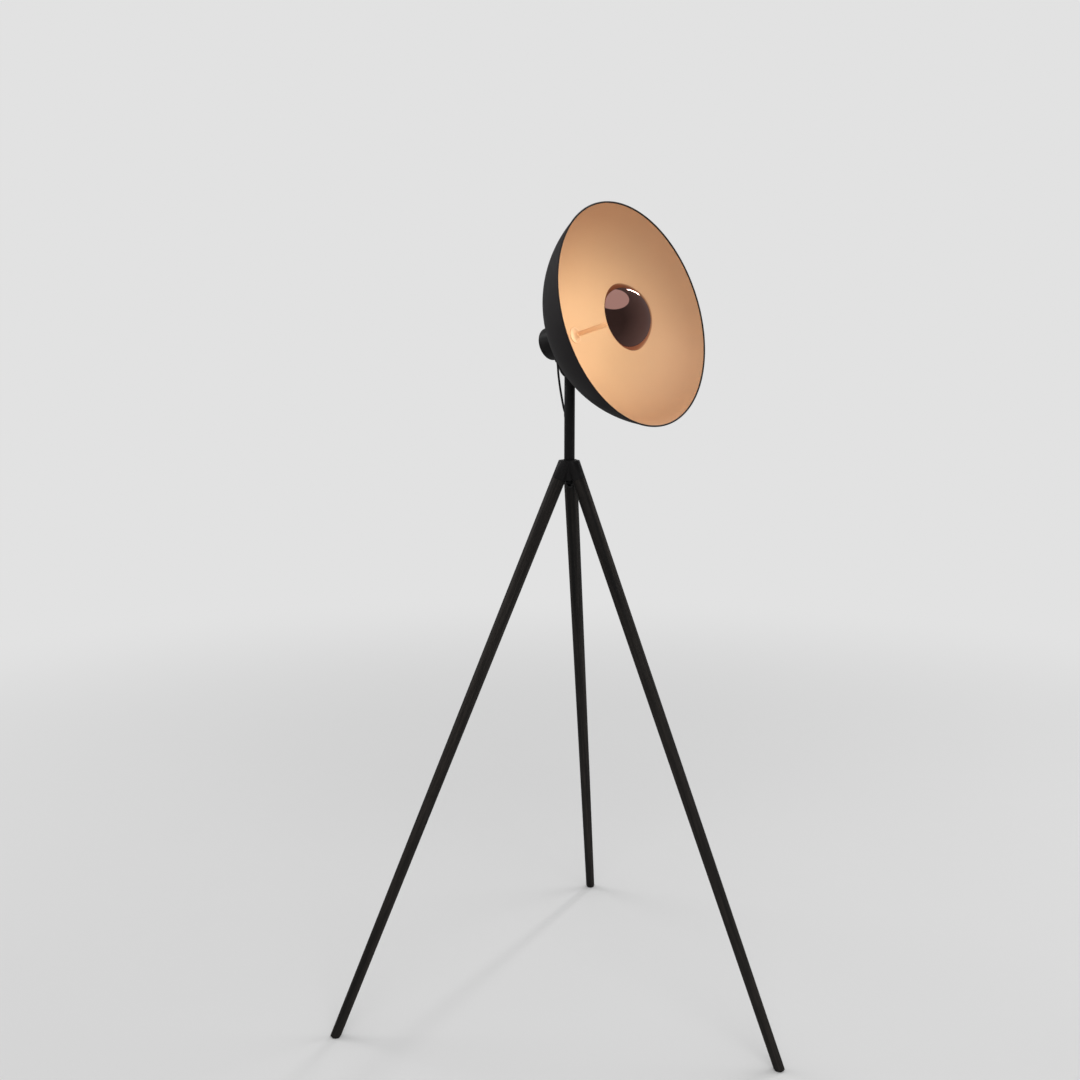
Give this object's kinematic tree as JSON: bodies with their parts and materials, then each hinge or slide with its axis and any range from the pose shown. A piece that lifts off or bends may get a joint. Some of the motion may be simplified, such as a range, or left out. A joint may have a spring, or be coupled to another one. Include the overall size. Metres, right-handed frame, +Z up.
{
  "type": "floor lamp",
  "caption": "Floor lamp: wooden tripod, short swivel pole and a large tilting dish that reflects the light of a hidden source behind a small polished bowl.",
  "frame": {"origin": "point of the floor under the pole's axis, in the plane of the three feet", "axes": "+Z up along the pole; the dish faces -Y at rest, raised 16.1 degrees; the hinge's bolt lies along X; one leg points 86.7 degrees clockwise of +X, seen from above"},
  "size_m": [0.9336, 0.8376, 1.7056],
  "materials": {
    "black_coat": "satin",
    "dish_coat": "satin",
    "stained_wood": "satin",
    "hardware_steel": "satin",
    "blackened_steel": "satin",
    "bearing_plastic": "matte",
    "black_rubber": "matte",
    "cable_jacket": "satin",
    "driver_case": "matte",
    "terminal_plastic": "matte",
    "copper_tube": "satin",
    "copper_mirror": "polished",
    "opal": "satin",
    "carrier_aluminium": "satin",
    "board_face": "matte"
  },
  "bodies": {
    "root": {"hub": "black_coat", "pole_bush": "bearing_plastic", "thrust_washer": "bearing_plastic", "leg_front": "stained_wood", "leg_right": "stained_wood", "leg_left": "stained_wood", "leg_stud_front": "hardware_steel", "leg_stud_right": "hardware_steel", "leg_stud_left": "hardware_steel", "foot_pad_front": "black_rubber", "foot_pad_right": "black_rubber", "foot_pad_left": "black_rubber"},
    "pole": {"pole_tube": "black_coat", "pole_spigot": "blackened_steel", "swivel_washer": "blackened_steel", "swivel_nut": "blackened_steel", "cable_outlet": "bearing_plastic", "pole_grommet": "black_rubber", "hinge_fork": "black_coat", "hinge_bolt": "blackened_steel", "hinge_nut": "blackened_steel", "hinge_washers": "bearing_plastic", "head_cable": "cable_jacket"},
    "head": {"hinge_bracket": "black_coat", "bracket_screws": "blackened_steel", "back_housing": "black_coat", "housing_cap": "black_coat", "cap_screws": "blackened_steel", "led_driver": "driver_case", "terminal_block": "terminal_plastic", "cable_gland": "bearing_plastic", "dish_shade": "dish_coat", "stem_tube": "copper_tube", "stem_flange": "copper_tube", "stem_washer": "hardware_steel", "stem_nut": "hardware_steel", "reflector_bowl": "copper_mirror", "diffuser": "opal", "lamp_carrier": "carrier_aluminium", "carrier_nut": "hardware_steel", "led_board": "board_face"}
  },
  "joints": [
    {"name": "pole_swivel", "type": "hinge", "parent": "root", "child": "pole", "pos_m": [0, 0, 1.15], "axis": [0, 0, 1], "range_deg": [-165, 165]},
    {"name": "head_tilt", "type": "hinge", "parent": "pole", "child": "head", "pos_m": [0, 0, 1.385], "axis": [-1, 0, 0], "range_deg": [-45, 45], "deforming": ["head_cable"]}
  ]
}
